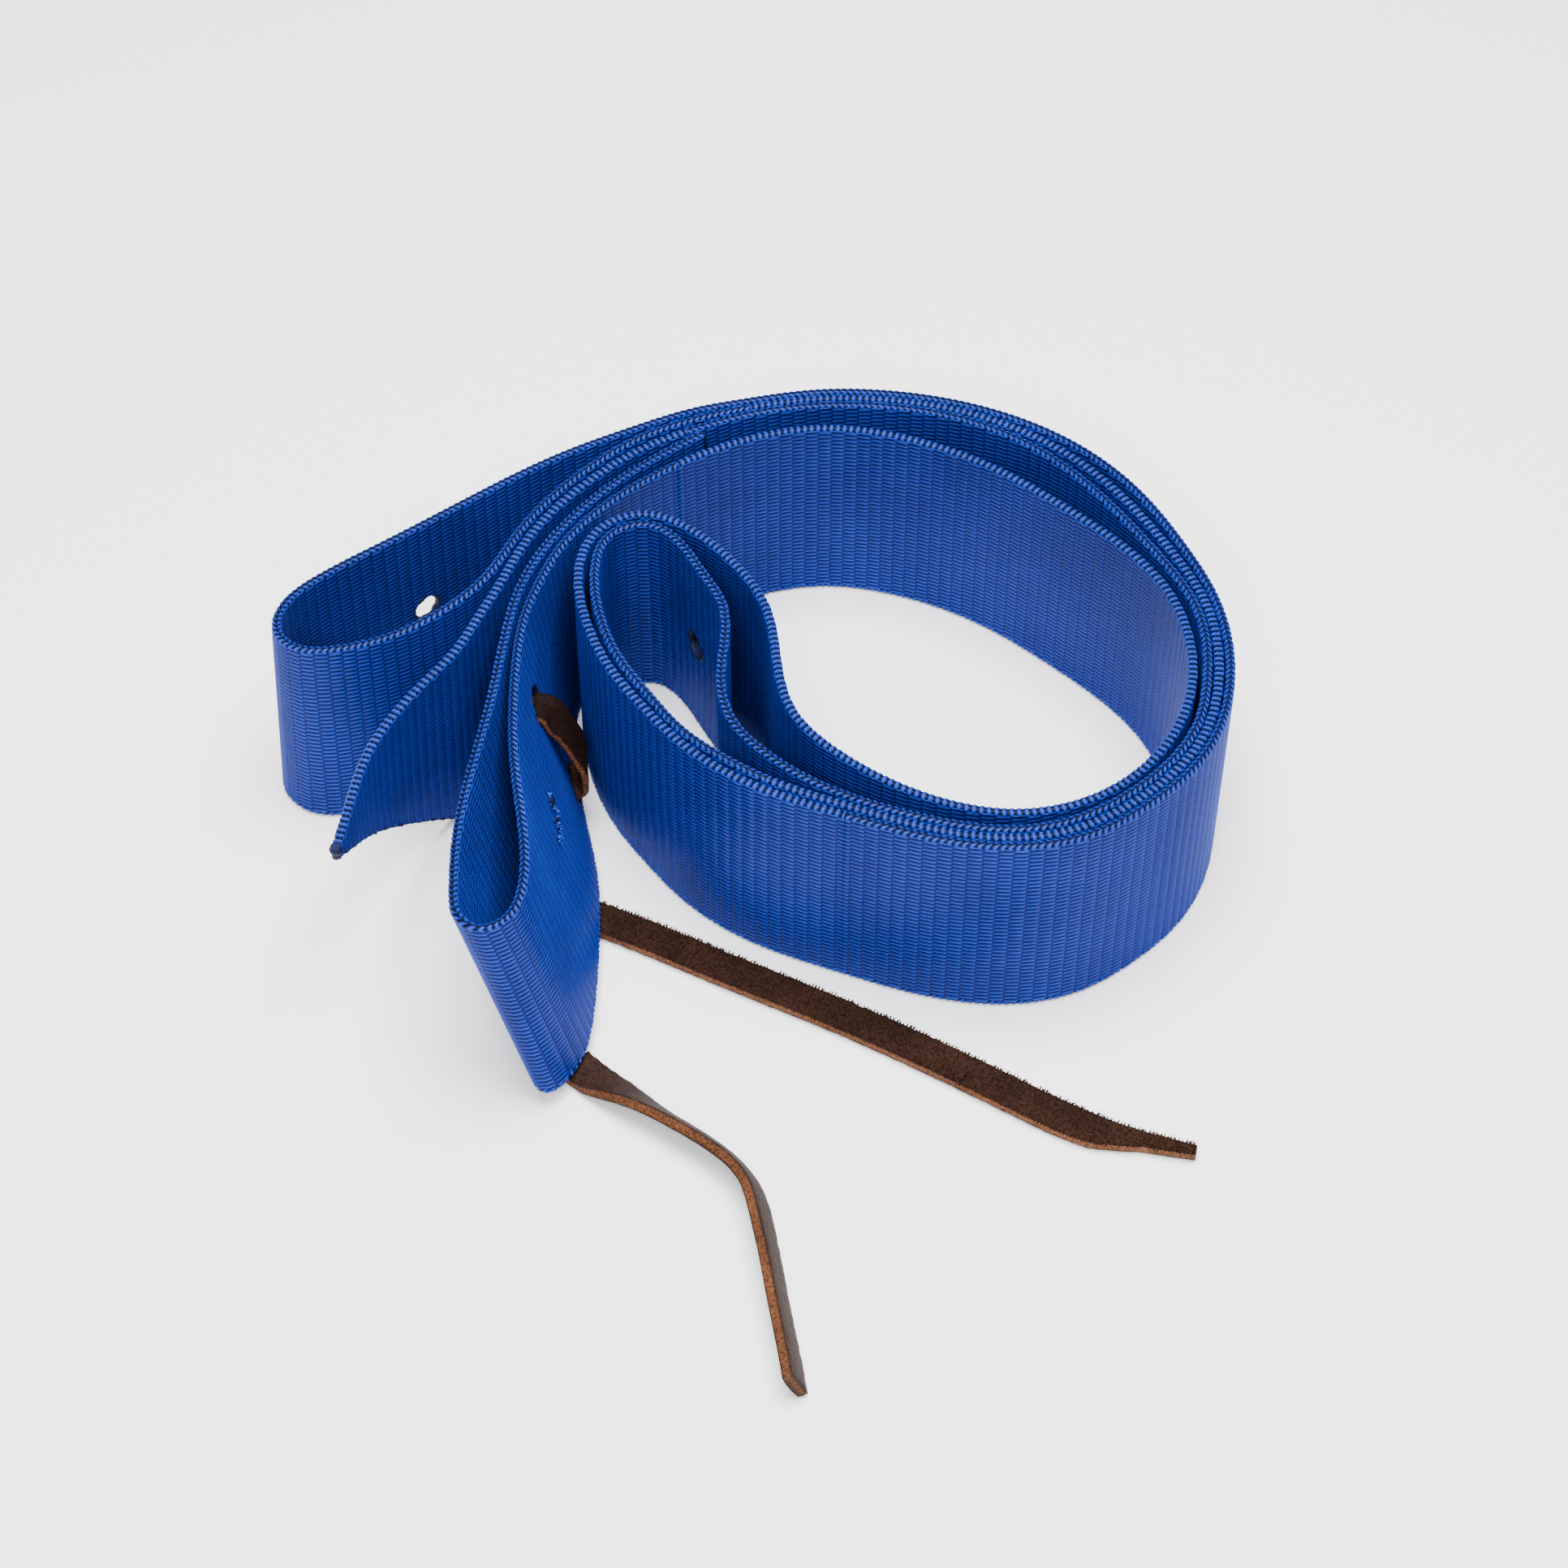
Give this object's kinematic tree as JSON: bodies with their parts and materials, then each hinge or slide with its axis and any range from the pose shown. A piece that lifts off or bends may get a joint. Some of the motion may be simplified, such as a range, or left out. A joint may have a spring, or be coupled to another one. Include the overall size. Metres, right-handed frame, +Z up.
{
  "type": "webbing tie strap",
  "caption": "Flat woven webbing strap with a slanted melted end, punched holes and a leather tie lace threaded through it, loosely rolled and standing on its edge",
  "frame": {"origin": "on the ground under the middle of the rolled strap's bounding box, the lace left out", "axes": "+Z up, +X along the roll's longest extent, -Y towards the folded end with the lace"},
  "size_m": [0.1891, 0.2205, 0.0466],
  "materials": {
    "webbing": "royal blue woven nylon webbing, ribbed across, satin sheen",
    "lace_leather": "dark brown oiled leather, napped on the flesh side, lighter cut edges"
  },
  "bodies": {
    "roll": {"webbing_strap": "webbing", "lace_tied": "lace_leather"},
    "loose_end": {"strap_tip": "webbing"},
    "long_tail": {"lace_long_tail": "lace_leather"},
    "short_tail": {"lace_short_tail": "lace_leather"}
  },
  "joints": [
    {"name": "loose_end_swing", "type": "hinge", "parent": "roll", "child": "loose_end", "pos_m": [-0.05008, 0.01306, 0.022], "axis": [0, 0, 1], "range_deg": [-25, 12]},
    {"name": "long_tail_swing", "type": "hinge", "parent": "roll", "child": "long_tail", "pos_m": [-0.02988, -0.03204, 0.0012], "axis": [0, 0, 1], "range_deg": [-15, 4]},
    {"name": "short_tail_swing", "type": "hinge", "parent": "roll", "child": "short_tail", "pos_m": [-0.03168, -0.06904, 0.00115], "axis": [0, 0, 1], "range_deg": [-20, 8]}
  ]
}
